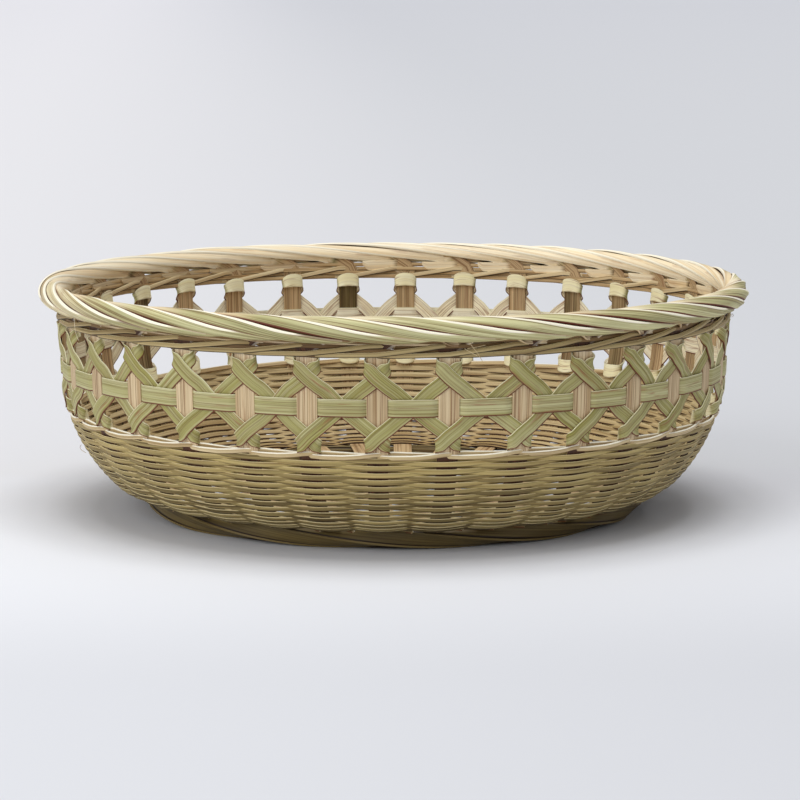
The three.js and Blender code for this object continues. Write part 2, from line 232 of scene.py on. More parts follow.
def wall_normal(angle, lean):
    return radial(angle) * column(np.sin(lean)) - UP * column(np.cos(lean))


def on_wall(angle, length, out):
    """Places at an angle round the basket and a length up its wall, so far outside the stakes."""
    radius, height, lean = wall_profile(length)
    return radial(angle) * column(radius) + UP * column(height) + wall_normal(angle, lean) * column(out)


STAKE_ANGLES = (np.arange(STAKES + 1) + 0.5) * STEP + np.radians(STAKE_OFFSETS + STAKE_OFFSETS[:1])


def stake_angle(index):
    """Angle of a place that is counted in stakes."""
    turns = np.floor(np.asarray(index, float) / STAKES)
    return np.interp(index - turns * STAKES, np.arange(STAKES + 1), STAKE_ANGLES) + turns * tau


def around_ring(angle, around, radius, centre, height):
    """Places round the section of a ring, and the directions away from the section's middle."""
    outward = radial(angle)
    away = outward * column(np.cos(around)) + UP * column(np.sin(around))
    return outward * centre + UP * height + away * column(radius), away


def curve_through(keys, steps):
    """Catmull-Rom curve through the rows of keys, which may hold more than a place."""
    keys = np.asarray(keys, float)
    padded = np.vstack([2 * keys[0] - keys[1], keys, 2 * keys[-1] - keys[-2]])
    t = np.linspace(0, 1, steps, endpoint=False)[:, None]
    parts = []
    for a, b, c, d in zip(padded, padded[1:], padded[2:], padded[3:]):
        bend = (2 * a - 5 * b + 4 * c - d) * t**2 + (3 * b - a - 3 * c + d) * t**3
        parts.append(0.5 * (2 * b + (c - a) * t + bend))
    return np.vstack(parts + [keys[-1:]])


# Strips


def ribbon(points, faces, width, thickness, tone):
    """A strip along points, whose face turns as near to faces as it can."""
    tangent = unit(np.gradient(points, axis=0))
    side = unit(np.cross(faces, tangent))
    face = np.cross(tangent, side)
    count = len(points)
    width = column(np.broadcast_to(width, count))
    thickness = column(np.broadcast_to(thickness, count))
    return Strip(points, side * width / 2, face * thickness / 2, tone)


def tilted(strip, angle):
    """The strip rolled about its own length, with its width and thickness kept."""
    wide = np.linalg.norm(strip.side, axis=1, keepdims=True)
    thick = np.linalg.norm(strip.face, axis=1, keepdims=True)
    side, face = strip.side / wide, strip.face / thick
    c, s = column(np.cos(angle)), column(np.sin(angle))
    return strip._replace(side=(side * c + face * s) * wide, face=(face * c - side * s) * thick)


def slanted(strip, length):
    """The strip with its last millimetres cut off at a slant."""
    left = np.linalg.norm(strip.middle - strip.middle[-1], axis=1)
    cut = column(np.clip(1 - left / length, 0, 1) * 0.6)
    return strip._replace(middle=strip.middle - strip.side * cut, side=strip.side * (1 - cut))


def hoop(length, out, width, thickness, turns=1, points=8, start=None):
    """A strip round the wall. Each size is a value or a function of the place in stakes."""
    first = rng.uniform(0, STAKES) if start is None else start
    index = first + np.linspace(0, STAKES * turns, STAKES * turns * points + 1)
    length, out, width, thickness = (
        size(index) if callable(size) else np.full_like(index, size)
        for size in (length, out, width, thickness))
    angle = stake_angle(index)
    faces = wall_normal(angle, wall_profile(length)[2])
    return ribbon(on_wall(angle, length, out), faces, width, thickness, rng.uniform())


# Node trees


class Tree:
    """A node tree, with short calls that add nodes. Inputs go by name or number."""

    def __init__(self, tree):
        self.tree = tree

    def node(self, kind, inputs=None, **settings):
        """A node with its settings and its inputs, each a value or another node's output."""
        node = self.tree.nodes.new(kind)
        for name, value in settings.items():
            setattr(node, name, value)
        for name, value in (inputs or {}).items():
            if isinstance(value, bpy.types.NodeSocket):
                self.link(value, node.inputs[name])
            else:
                node.inputs[name].default_value = value
        return node

    def first(self, kind, inputs=None, **settings):
        return self.node(kind, inputs, **settings).outputs[0]

    def link(self, output, socket):
        self.tree.links.new(output, socket)

    def math(self, operation, *values):
        return self.first("ShaderNodeMath", dict(enumerate(values)), operation=operation)

    def ramp(self, value, low, high, **settings):
        inputs = {"Value": value, "From Min": low, "From Max": high}
        return self.first("ShaderNodeMapRange", inputs, **settings)

    def mixed(self, factor, first, second, blend="MIX"):
        """A mix of two colours, each given in paint values or as another node's output."""
        ends = [srgb(*end) if isinstance(end, tuple) else end for end in (first, second)]
        inputs = {0: factor, 6: ends[0], 7: ends[1]}
        return self.node("ShaderNodeMix", inputs, data_type="RGBA", blend_type=blend).outputs[2]


class Group(Tree):
    """A node group with named inputs and outputs."""

    def __init__(self, name, kind):
        super().__init__(bpy.data.node_groups.new(name, kind))
        self.source = self.node("NodeGroupInput")
        self.sink = self.node("NodeGroupOutput")

    def takes(self, name, kind, value=None):
        socket = self.tree.interface.new_socket(name, in_out="INPUT", socket_type="NodeSocket" + kind)
        if value is not None:
            socket.default_value = value
        return self.source.outputs[name]

    def gives(self, name, kind, output):
        self.tree.interface.new_socket(name, in_out="OUTPUT", socket_type="NodeSocket" + kind)
        self.link(output, self.sink.inputs[name])


def srgb(red, green, blue):
    """A colour written as paint values from 0 to 255."""
    values = [v / 255 for v in (red, green, blue)]
    return [v / 12.92 if v <= 0.04045 else ((v + 0.055) / 1.055) ** 2.4 for v in values] + [1.0]


def strip_tree():
    """Sweeps the section of a split bamboo strip along paths that carry their own side and face."""
    tree = Group("bamboo_strip", "GeometryNodeTree")
    paths = tree.takes("Paths", "Geometry")
    points = tree.takes("Section Points", "Int", 12)
    square = tree.takes("Squareness", "Float", 7.0)
    crown = tree.takes("Crown", "Float", 0.25)
    rim_crown = tree.takes("Rim Crown", "Float", 0.0)
    material = tree.takes("Material", "Material")

    def store(geometry, name, kind, value, domain="POINT"):
        inputs = {"Geometry": geometry, "Name": name, "Value": value}
        return tree.first("GeometryNodeStoreNamedAttribute", inputs, data_type=kind, domain=domain)

    def read(name, kind="FLOAT"):
        return tree.first("GeometryNodeInputNamedAttribute", {"Name": name}, data_type=kind)

    def scaled(name, by):
        inputs = {0: read(name, "FLOAT_VECTOR"), "Scale": by}
        return tree.first("ShaderNodeVectorMath", inputs, operation="SCALE")

    def added(first, second):
        return tree.first("ShaderNodeVectorMath", {0: first, 1: second})

    # The section is a circle pushed out toward a rectangle, with places from -1 to 1
    position = tree.first("GeometryNodeInputPosition")
    circle = tree.first("GeometryNodeCurvePrimitiveCircle", {"Resolution": points, "Radius": 1.0})
    half_step = tree.math("DIVIDE", pi, points)
    spin = tree.first("ShaderNodeVectorRotate", {"Vector": position, "Angle": half_step},
                      rotation_type="Z_AXIS")
    place = tree.node("ShaderNodeSeparateXYZ", {0: spin})
    power = tree.math("DIVIDE", 2.0, square)

    def squared(value):
        size = tree.math("POWER", tree.math("ABSOLUTE", value), power)
        return tree.math("MULTIPLY", tree.math("SIGN", value), size)

    section = store(circle, "across", "FLOAT", squared(place.outputs[0]))
    section = store(section, "through", "FLOAT", squared(place.outputs[1]))
    marked = store(paths, "middle", "FLOAT_VECTOR", position)
    curve = tree.first("GeometryNodeMeshToCurve", {"Mesh": marked})
    swept = tree.first("GeometryNodeCurveToMesh", {"Curve": curve, "Profile Curve": section,
                                                   "Fill Caps": True})

    # Each point is put on the strip's own side and face, with the face crowned
    across, through = read("across"), read("through")
    zone = tree.node("ShaderNodeSeparateXYZ", {0: read("zone", "FLOAT_VECTOR")})
    arch = tree.math("MULTIPLY_ADD", rim_crown, zone.outputs[2], crown)
    inward = tree.math("SUBTRACT", 1.0, tree.math("MULTIPLY", across, across))
    lifted = tree.math("ADD", through, tree.math("MULTIPLY", arch, inward))
    surface = added(read("middle", "FLOAT_VECTOR"), scaled("side", across))
    surface = added(surface, scaled("face", lifted))
    done = tree.first("GeometryNodeSetPosition", {"Geometry": swept, "Position": surface})

    # What the materials read: a flat map in metres, and where the point is on its strip
    wide = tree.node("ShaderNodeVectorMath", {0: read("side", "FLOAT_VECTOR")}, operation="LENGTH")
    measured = tree.math("MULTIPLY", wide.outputs["Value"], across)
    flat = tree.first("ShaderNodeCombineXYZ", {0: read("run"), 1: measured})
    done = store(done, "grain", "FLOAT2", flat, "CORNER")
    upper = tree.math("MULTIPLY", across, zone.outputs[0])
    parts = tree.first("ShaderNodeCombineXYZ", {0: upper, 1: through, 2: read("tone")})
    done = store(done, "strip", "FLOAT_VECTOR", parts)
    for name in ("middle", "side", "face", "run", "tone", "across", "through"):
        done = tree.first("GeometryNodeRemoveAttribute", {"Geometry": done, "Name": name})
    done = tree.first("GeometryNodeRealizeInstances", {"Geometry": done})
    done = tree.first("GeometryNodeSetShadeSmooth", {"Geometry": done})
    done = tree.first("GeometryNodeSetMaterial", {"Geometry": done, "Material": material})
    tree.gives("Geometry", "Geometry", done)
    return tree.tree


STRIP_TREE = strip_tree()


def path_mesh(name, strips):
    """Paths as loose edges, whose points carry each strip's side, face, run, tone and zone."""
    points = np.vstack([s.middle for s in strips]) * MM
    runs = [np.r_[0, np.cumsum(np.linalg.norm(np.diff(s.middle, axis=0), axis=1))] for s in strips]
    tones = [np.full(len(s.middle), s.tone) for s in strips]
    zones = [np.broadcast_to(s.zone, s.middle.shape) for s in strips]
    starts = np.cumsum([0] + [len(s.middle) for s in strips])
    edges = [np.stack([np.arange(a, b - 1), np.arange(a + 1, b)], 1) for a, b in zip(starts, starts[1:])]
    mesh = bpy.data.meshes.new(name)
    mesh.from_pydata(points.tolist(), np.vstack(edges).tolist(), [])
    for label, kind, field, values in [
        ("side", "FLOAT_VECTOR", "vector", np.vstack([s.side for s in strips]) * MM),
        ("face", "FLOAT_VECTOR", "vector", np.vstack([s.face for s in strips]) * MM),
        ("run", "FLOAT", "value", np.concatenate(runs) * MM),
        ("tone", "FLOAT", "value", np.concatenate(tones)),
        ("zone", "FLOAT_VECTOR", "vector", np.vstack(zones)),
    ]:
        attribute = mesh.attributes.new(label, kind, "POINT")
        attribute.data.foreach_set(field, np.ascontiguousarray(values, np.float32).ravel())
    return mesh


def run_tree(obj, tree, **values):
    """Applies a node tree with its inputs set by name, and leaves a plain mesh."""
    modifier = obj.modifiers.new("shape", "NODES")
    modifier.node_group = tree
    for socket in tree.interface.items_tree:
        name = socket.name.replace(" ", "_").lower()
        if socket.in_out == "INPUT" and name in values:
            modifier[socket.identifier] = values[name]
    graph = bpy.context.evaluated_depsgraph_get()
    mesh = bpy.data.meshes.new_from_object(obj.evaluated_get(graph))
    obj.modifiers.remove(modifier)
    paths = obj.data
    obj.data = mesh
    bpy.data.meshes.remove(paths)
    mesh.name = obj.name


def add_strips(name, strips, material, slot, nodes, **section):
    """One piece made of swept strips, standing for the solids named in nodes."""
    obj = bpy.data.objects.new(name, path_mesh(name, strips))
    bpy.context.scene.collection.objects.link(obj)
    run_tree(obj, STRIP_TREE, material=material, **section)
    shell = bmesh.new()
    shell.from_mesh(obj.data)
    bmesh.ops.recalc_face_normals(shell, faces=shell.faces)
    shell.to_mesh(obj.data)
    shell.free()
    obj.data.set_sharp_from_angle(angle=radians(42))
    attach(obj, "root")
    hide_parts(*nodes)


# Materials


def grain_group():
    """Bamboo fibres along a strip: fine lines, darker streaks, slow patches and rare stains."""
    group = Group("bamboo_grain", "ShaderNodeTree")
    fineness = group.takes("Fineness", "Float", 1.0)
    strip = group.node("ShaderNodeAttribute", attribute_name="strip")
    tone = group.node("ShaderNodeSeparateXYZ", {0: strip.outputs["Vector"]}).outputs[2]
    grain = group.first("ShaderNodeUVMap", uv_map="grain")
    flat = group.node("ShaderNodeSeparateXYZ", {0: grain})
    across = group.math("MULTIPLY", flat.outputs[1], fineness)

    def noise(along_scale, across_scale, detail, low, high):
        place = group.first("ShaderNodeCombineXYZ", {
            0: group.math("MULTIPLY", flat.outputs[0], along_scale),
            1: group.math("MULTIPLY", across, across_scale),
            2: group.math("MULTIPLY", tone, 97.0),
        })
        inputs = {"Vector": place, "Scale": 1.0, "Detail": detail, "Roughness": 0.6}
        return group.ramp(group.node("ShaderNodeTexNoise", inputs).outputs["Fac"], low, high)

    group.gives("Fibre", "Float", noise(45.0, 2400.0, 1.5, 0.3, 0.7))
    group.gives("Streak", "Float", noise(16.0, 900.0, 2.0, 0.5, 0.7))
    group.gives("Patch", "Float", noise(28.0, 160.0, 2.0, 0.3, 0.7))
    group.gives("Band", "Float", noise(7.0, 430.0, 1.0, 0.38, 0.62))
    group.gives("Line", "Float", noise(12.0, 2100.0, 1.0, 0.52, 0.62))
    group.gives("Stain", "Float", noise(55.0, 420.0, 2.0, 0.59, 0.69))
    return group.tree


def faces_group():
    """Where a point is on its strip: skin side, upper cut edge with a painted highlight, lower cut edge
    with painted shade, pale part or rim.
    """
    group = Group("strip_faces", "ShaderNodeTree")
    edge = group.takes("Edge Width", "Float", 0.1)
    shade = group.takes("Lower Width", "Float", 0.12)
    strip = group.node("ShaderNodeAttribute", attribute_name="strip")
    upper, through, tone = group.node("ShaderNodeSeparateXYZ", {0: strip.outputs["Vector"]}).outputs
    zone = group.node("ShaderNodeAttribute", attribute_name="zone")
    _, bleached, rim = group.node("ShaderNodeSeparateXYZ", {0: zone.outputs["Vector"]}).outputs

    from_edge = group.math("SUBTRACT", 1.0, edge)
    full_edge = group.math("ADD", from_edge, 0.05)
    from_lower = group.math("SUBTRACT", 1.0, shade)
    full_lower = group.math("MULTIPLY_ADD", shade, 0.5, from_lower)
    lower = group.math("MULTIPLY", upper, -1.0)
    group.gives("Skin", "Float", group.ramp(through, -0.15, 0.15))
    # The band along the upper cut edge is a painted highlight, the band along the lower one painted shade
    group.gives("Upper Edge", "Float", group.ramp(upper, from_edge, full_edge))
    group.gives("Lower Edge", "Float", group.ramp(lower, from_lower, full_lower))
    group.gives("Tone", "Float", tone)
    group.gives("Bleached", "Float", bleached)
    group.gives("Rim", "Float", rim)
    return group.tree


GRAIN = grain_group()
FACES = faces_group()
COVERED_SKIN = (198, 170, 128)
STREAK_TINT = (196, 170, 132)
LINE_TINT = (150, 112, 78)
STAIN_BROWN = (150, 92, 62)


def bamboo(name, skin, pith, upper, lower, shade, edge=0.1, rim=None, bleached=None, shaded_pith=None,
           fineness=1.0, streaks=0.6, lines=0.4, stains=0.0, variety=0.0):
    """Split bamboo. Skin, pith, rim and the pale colours each have a light and a dark colour; upper and
    lower colour the cut edges and paint a highlight along the upper edge and shade along the lower,
    which are as wide as edge and shade say. The pale colours are a painted highlight on the roll,
    and the colour for covered pith is painted shade."""
    material = bpy.data.materials.new(name)
    material.use_nodes = True
    tree = Tree(material.node_tree)
    shader = tree.tree.nodes["Principled BSDF"]
    grain = tree.node("ShaderNodeGroup", {"Fineness": fineness}, node_tree=GRAIN).outputs
    faces = tree.node("ShaderNodeGroup", {"Edge Width": edge, "Lower Width": shade},
                      node_tree=FACES).outputs
    streak, line = grain["Streak"], grain["Line"]

    wear = tree.math("MULTIPLY_ADD", grain["Fibre"], 0.2, tree.math("MULTIPLY", grain["Patch"], 0.2))
    wear = tree.math("MULTIPLY_ADD", grain["Band"], 0.35, wear)
    wear = tree.math("MULTIPLY_ADD", faces["Tone"], 0.3, wear)
    off_middle = tree.math("SUBTRACT", faces["Tone"], 0.5)
    skin_side = tree.mixed(tree.math("MULTIPLY_ADD", off_middle, variety, wear), *skin)
    pith_side = tree.mixed(wear, *pith)
    if rim:
        skin_side = tree.mixed(faces["Rim"], skin_side, tree.mixed(wear, *rim))
    # Painted shade on the pith where the weave covers the stake; the skin side there takes one even tan
    if shaded_pith:
        covered = tree.math("MULTIPLY", faces["Bleached"], -1.0)
        pith_side = tree.mixed(covered, pith_side, shaded_pith)
        skin_side = tree.mixed(covered, skin_side, COVERED_SKIN)
    body = tree.mixed(faces["Skin"], pith_side, skin_side)
    # Pale parts: a painted highlight on the roll and its tails, and paler behind the lattice's stakes
    if bleached:
        body = tree.mixed(faces["Bleached"], body, tree.mixed(wear, *bleached))
        pale = tree.math("MAXIMUM", faces["Bleached"], 0.0)
        smoother = tree.math("MULTIPLY_ADD", pale, -0.7, 1.0)
        streak = tree.math("MULTIPLY", streak, smoother)
        line = tree.math("MULTIPLY", line, smoother)
    body = tree.mixed(tree.math("MULTIPLY", streak, streaks), body, STREAK_TINT, "MULTIPLY")
    body = tree.mixed(tree.math("MULTIPLY", line, lines), body, LINE_TINT, "MULTIPLY")
    if stains:
        body = tree.mixed(tree.math("MULTIPLY", grain["Stain"], stains), body, STAIN_BROWN)

    # Painted highlight along upper edges, on the rim only where rim colours are given, then painted shade
    # along lower edges, weaker on pale parts
    on_rim = faces["Rim"] if rim else 1.0
    colour = tree.mixed(tree.math("MULTIPLY", faces["Upper Edge"], on_rim), body, upper)
    if bleached:
        dark = tree.math("MULTIPLY_ADD", faces["Bleached"], -0.65, 1.0)
        on_rim = tree.math("MULTIPLY", on_rim, dark)
    colour = tree.mixed(tree.math("MULTIPLY", faces["Lower Edge"], on_rim), colour, lower)
    tree.link(colour, shader.inputs["Base Color"])
    tree.link(tree.math("MULTIPLY_ADD", grain["Fibre"], 0.16, 0.5), shader.inputs["Roughness"])
    relief = tree.math("MULTIPLY_ADD", streak, -1.0, tree.math("MULTIPLY", grain["Fibre"], 0.6))
    bump = tree.first("ShaderNodeBump", {"Height": relief, "Strength": 0.4, "Distance": 0.12 * MM})
    tree.link(bump, shader.inputs["Normal"])
    shader.inputs["Specular IOR Level"].default_value = 0.35
    return material


# Each material's upper colour is a painted highlight along the upper cut edge, and its lower colour is
# painted shade along the lower
stake_bamboo = bamboo(
    "stake_bamboo", skin=((220, 190, 146), (102, 86, 46)), pith=((230, 208, 168), (191, 167, 129)),
    upper=(255, 248, 226), lower=(104, 46, 28), edge=0.28, shade=0.27,
    rim=((230, 226, 174), (154, 150, 98)), bleached=((255, 248, 224), (236, 206, 154)),
    shaded_pith=(78, 46, 24), fineness=1.1, lines=0.7, stains=0.25, variety=1.1)
weft_bamboo = bamboo(
    "weft_bamboo", skin=((209, 187, 122), (86, 70, 33)), pith=((222, 204, 158), (168, 142, 94)),
    upper=(234, 216, 164), lower=(66, 38, 18), edge=0.12, shade=0.38, streaks=0.5)
edge_bamboo = bamboo(
    "edge_bamboo", skin=((236, 218, 176), (186, 160, 108)), pith=((240, 222, 180), (196, 168, 116)),
    upper=(254, 248, 228), lower=(120, 78, 44), edge=0.3, shade=0.28, streaks=0.4)
green_bamboo = bamboo(
    "green_bamboo", skin=((211, 207, 161), (150, 143, 66)), pith=((255, 252, 230), (250, 238, 202)),
    upper=(234, 228, 190), lower=(108, 54, 32), edge=0.08, shade=0.18,
    bleached=((255, 252, 224), (248, 238, 188)), fineness=1.4, streaks=0.5, lines=0.5, stains=0.6)
wale_bamboo = bamboo(
    "wale_bamboo", skin=((214, 194, 140), (124, 102, 60)), pith=((242, 226, 186), (204, 178, 132)),
    upper=(238, 222, 178), lower=(42, 24, 12), edge=0.14, shade=0.44)
# The foot's colours are darkened as painted shade under the overhanging wall
foot_bamboo = bamboo(
    "foot_bamboo", skin=((126, 108, 60), (72, 58, 30)), pith=((130, 104, 62), (86, 64, 36)),
    upper=(124, 106, 64), lower=(46, 30, 18), shade=0.25)
# The core's skin side is dark as painted shade: from the front it shows through the gaps under the roll
# and in the wale. Its pith side is light
core_bamboo = bamboo(
    "core_bamboo", skin=((150, 120, 76), (100, 76, 44)), pith=((226, 200, 154), (184, 152, 106)),
    upper=(150, 120, 78), lower=(66, 42, 22), shade=0.3)


# Long splints: floor, stake and rim strand


def floor_half(lane, direction, quarter, angle):
    """Half of a splint's way across the floor: over and under, then fanned out to its stake."""
    offset = (lane - (LANES - 1) / 2) * LANE_PITCH
    x = np.linspace(0, LANES / 2 * LANE_PITCH, 41)
    wave = FLOOR_WAVE * (1 if lane % 2 == 0 else -1) * np.sin(pi * direction * x / LANE_PITCH)
    ahead, beside = radial(quarter * pi / 2), radial((quarter + 1) * pi / 2)
    woven = ahead * column(direction * x) + beside * offset + UP * column(FLOOR_HEIGHT + wave)
    stake_foot = radial(angle) * FLOOR_RADIUS + UP * FLOOR_HEIGHT
    share = np.linspace(0, 1, 13)[1:-1, None]
    return np.vstack([woven, woven[-1] * (1 - share) + stake_foot * share])


def up_the_wall(angle):
    """A stake from the foot of the wall to just under the top of the wale, and where it faces."""
    lengths = np.linspace(0, length_at(WALE_TOP - 0.8), 46)
    angles = np.full_like(lengths, angle)
    places = on_wall(angles, lengths, np.zeros_like(lengths))
    return places, -wall_normal(angles, wall_profile(lengths)[2])


def on_roll(index, around, radius):
    """Places on the rolled rim and the directions away from its middle."""
    return around_ring(stake_angle(index), around, radius, ROLL_CENTRE, ROLL_HEIGHT)


def rim_strand(index):
    """A strand up the inside of the roll, over the top and slowly down the outside."""
    spacings = np.linspace(STRAND_START, STRAND_END, 80)
    around = ROLL_ENTRY - spacings * STRAND_TURN + rng.normal() * radians(3)
    around = around + 0.27 * np.sin(around)
    swell = 0.12 * np.sin(spacings * 2.1 + rng.uniform(0, tau)) + rng.normal() * 0.08 - 0.25
    settled = smooth_step((spacings - 0.1) / 0.9)
    roll, away = on_roll(index + spacings, around, ROLL_RADIUS - 1.0 * (1 - settled) + swell)
    inward = -radial(stake_angle(index + spacings))
    return roll, unit(away * column(settled) + inward * column(1.01 - settled)), around


def tail_of(index):
    """A strand's kind of tail: short and broad in the right half of the ring, long in the left."""
    return SHORT_TAIL if cos(float(stake_angle(index + 6))) > 0.04 else LONG_TAIL


def strand_tail(index):
    """The end of a strand, brought in under the roll, with its face turned inward."""
    tail = tail_of(index)
    spacings = np.linspace(TAIL_START, tail.end + rng.uniform(-0.05, 0.05), 14)
    share = np.linspace(0, 1, 14)
    around = np.radians(np.interp(share, TAIL_SHARES, tail.around))
    places, away = on_roll(index + spacings, around, np.interp(share, TAIL_SHARES, tail.radius))
    turned = column(smooth_step(share * 2.8))
    return places, unit(away * (1 - turned) - radial(stake_angle(index + spacings)) * turned)


def splint_path(lane, direction, quarter, index):
    """Places and faces of half a splint, its counts past the start of rim and tail, and its turn
    round the roll in degrees."""
    angle = float(stake_angle(index))
    floor = floor_half(lane, direction, quarter, angle)
    wall, wall_faces = up_the_wall(angle)
    roll, roll_faces, around = rim_strand(index)
    tail, tail_faces = strand_tail(index)
    places = np.vstack([floor, wall, roll, tail])
    faces = np.vstack([np.tile(UP, (len(floor), 1)), wall_faces, roll_faces, tail_faces])
    path = curve_through(np.hstack([places, faces]), 2)
    count = np.arange(len(path))
    at_rim = 2 * (len(floor) + len(wall))
    at_tail = at_rim + 2 * len(roll)
    turn = np.interp(count, at_rim + 2 * np.arange(len(around)), np.degrees(around))
    return path[:, :3], path[:, 3:], count - at_rim, count - at_tail, turn


def splint_arm(lane, direction, quarter):
    """Half of a splint: from the middle of the floor up the wall, along the rim to its cut end."""
    index = lane - LANES / 2 if direction > 0 else STAKES / 2 + LANES / 2 - 1 - lane
    index = index + quarter * LANES
    tail = tail_of(index)
    places, faces, past_rim, past_tail, turn = splint_path(lane, direction, quarter, index)
    in_rim = smooth_step((past_rim + 4) / 12)
    in_tail = smooth_step((past_tail + 4) / 8)
    rising = smooth_step((turn - 60) / 50)
    falling = smooth_step((-5 - turn) / 50)
    in_sight = in_rim * (1 - smooth_step((-20 - turn) / 45))

    width = STAKE_WIDTH + (STRAND_WIDTH * rng.uniform(0.9, 1.1) - STAKE_WIDTH) * in_rim
    width = width + (tail.width - STRAND_WIDTH) * in_tail - in_rim * rising
    thickness = STAKE_THICKNESS + (STRAND_THICKNESS - STAKE_THICKNESS) * in_rim * (1 - in_tail)
    strip = ribbon(places, faces, width, thickness, 0)
    strip = tilted(strip, (STRAND_TILT + radians(3) * rng.normal()) * in_sight)

    # Paler on the inside and top of the roll, at its left end and on the tail: a painted highlight.
    # Painted shade on the pith where the weave and the wale cover it
    inside = smooth_step((past_rim + 10) / 8) * rising
    at = np.arctan2(places[:, 1], places[:, 0])
    left_end = smooth_step((-np.cos(at) - 0.75) / 0.25)
    bleached = np.maximum(inside, 0.6 * in_rim * left_end)
    bleached = np.where(past_tail < 0, bleached, tail.bleached * smooth_step((past_tail - 9) / 3))
    height = places[:, 2]
    # Painted shade where the weave and the wale cover the stake
    covered = (past_rim < 0) & ((height < BAND_BOTTOM - 1) | (height > BAND_TOP + 1))
    bleached = np.where(covered, -1.0, bleached)
    edge = direction * smooth_step(np.arange(len(places)) / 40)
    edge = edge * (1 - 0.27 * falling) * (1 - 0.9 * in_tail)
    rim = in_rim * (1 - in_tail) * (1 + 0.5 * inside)
    return slanted(strip, TAIL_SLANT)._replace(zone=np.stack([edge, bleached, rim], 1))


def add_splint(name, lane, quarter):
    """A whole splint, from one cut end in the rim through the floor to the other."""
    near = splint_arm(lane, 1, quarter)
    far = splint_arm(lane, -1, quarter)
    far = far._replace(side=-far.side)
    middle, side, face, zone = (
        np.vstack([getattr(far, part)[:0:-1], getattr(near, part)])
        for part in ("middle", "side", "face", "zone"))
    strip = Strip(middle, side, face, rng.uniform(), zone)
    add_strips(name + "_strip", [strip], stake_bamboo, "stake_bamboo", [name],
               section_points=20, squareness=9.0, crown=0.25, rim_crown=1.1)


for lane in range(LANES):
    add_splint(f"splint_lengthwise_{lane + 1}", lane, 0)
    add_splint(f"splint_crosswise_{lane + 1}", lane, 1)


# Woven wall, its twined edge and the wale

ROW_PITCH = (length_at(BAND_BOTTOM) - FIRST_ROW - EDGE_ROOM) / ROWS
ROW_SWING = STAKE_THICKNESS / 2 + ROW_THICKNESS / 2 + ROW_CLEARANCE


def weave(index, parity):
    """1 where a row passes outside a stake and -1 where it passes inside."""
    return np.cos(pi * (index + parity))


def row_breadth(side):
    """Width of a row in row pitches: squeezed where it crosses its neighbours, widest by a stake."""
    return 1.22 + 0.95 * side**2 - 0.74 * side**4


def wall_row(row):
    """One row of weft, a little uneven as by hand, and darker toward the foot as painted shade."""
    place = FIRST_ROW + (row + 0.5) * ROW_PITCH
    drift, breadth = ripple(), ripple((5, 9, 14, 23))
    strip = hoop(
        lambda index: place + 0.09 * drift(index),
        lambda index: ROW_SWING * weave(index, row),
        lambda index: ROW_PITCH * (row_breadth(weave(index, row)) + 0.06 * breadth(index)),
        ROW_THICKNESS)
    # Tone varies at random, and darkens toward the foot as painted shade
    return strip._replace(tone=rng.uniform(-0.2, 0.8) + 2.1 * (1 - row / ROWS) ** 2.4)


def twined(place, rods, rod, swing, climb):
    """Length and distance out of one rod of a twining, which climbs outside some stakes and passes
    inside the next."""
    outside = 1 - 1 / rods

    def share(index):
        return ((index - rod) / rods) % 1

    def length(index):
        ends = [0, outside / 2, outside - 0.04, outside + 0.06, 1]
        return place + climb * np.interp(share(index), ends, [-1, -0.65, 0.95, 1, -1])

    def out(index):
        ends = [0, 0.1, 0.3, outside - 0.12, outside, outside + 0.12, 0.92, 1]
        return swing * np.interp(share(index), ends, [-0.2, 0.75, 1.1, 1.0, 0.1, -1, -0.9, -0.2])

    return length, out


def wale_filler(row, place):
    """A fine row behind the rods of the wale."""
    return hoop(place, lambda index: 0.7 * weave(index, row), width=1.9, thickness=0.6)


add_strips("woven_wall", [wall_row(row) for row in range(ROWS)], weft_bamboo, "weft_bamboo",
           [f"wall_row_{i}" for i in range(1, 11)], section_points=10, squareness=2.8, crown=0.35)

edge_place = length_at(BAND_BOTTOM) - EDGE_DROP
edge_rods = [hoop(*twined(edge_place, EDGE_RODS, rod, swing=1.1, climb=0.6), width=2.2, thickness=0.9,
                  points=16, start=rod) for rod in range(EDGE_RODS)]
add_strips("wall_edge_twine", edge_rods, edge_bamboo, "weft_bamboo", ["wall_row_10"],
           section_points=10, squareness=3.5, crown=0.3)

wale_place = length_at((BAND_TOP + WALE_TOP) / 2)
wale = hoop(*twined(wale_place, WALE_RODS, 0, swing=1.3, climb=2.1), width=2.1, thickness=1.1,
            turns=WALE_RODS, points=20, start=0)
add_strips("rim_wale", [wale], wale_bamboo, "wale_bamboo", ["rim_wale_1", "rim_wale_2"],
           section_points=10, squareness=4.0, crown=0.3)
# The fillers take the core's colours, dark outside as painted shade in the wale's gaps
fillers = [wale_filler(row, wale_place + (row - 1) * FILLER_PITCH) for row in range(3)]
add_strips("wale_filling", fillers, core_bamboo, "core_bamboo", ["rim_wale_1", "rim_wale_2"],
           section_points=8, squareness=3.5, crown=0.2)


# Belt and lattice


def belt_length(index):
    """The belt's length up the wall."""
    at_back = smooth_step((np.sin(stake_angle(index)) - 0.3) / 0.5)
    return length_at(BELT_HEIGHT + BELT_RISE * at_back)


def belt_out(index):
    """The belt's distance out: inside the stakes, and bowed out between them."""
    run = np.abs((index + 0.5) % 1 - 0.5) * STEP * BELT_RADIUS
    return -BELT_INSIDE + BELT_BOW * smooth_step((run - 3.4) / 3.6)


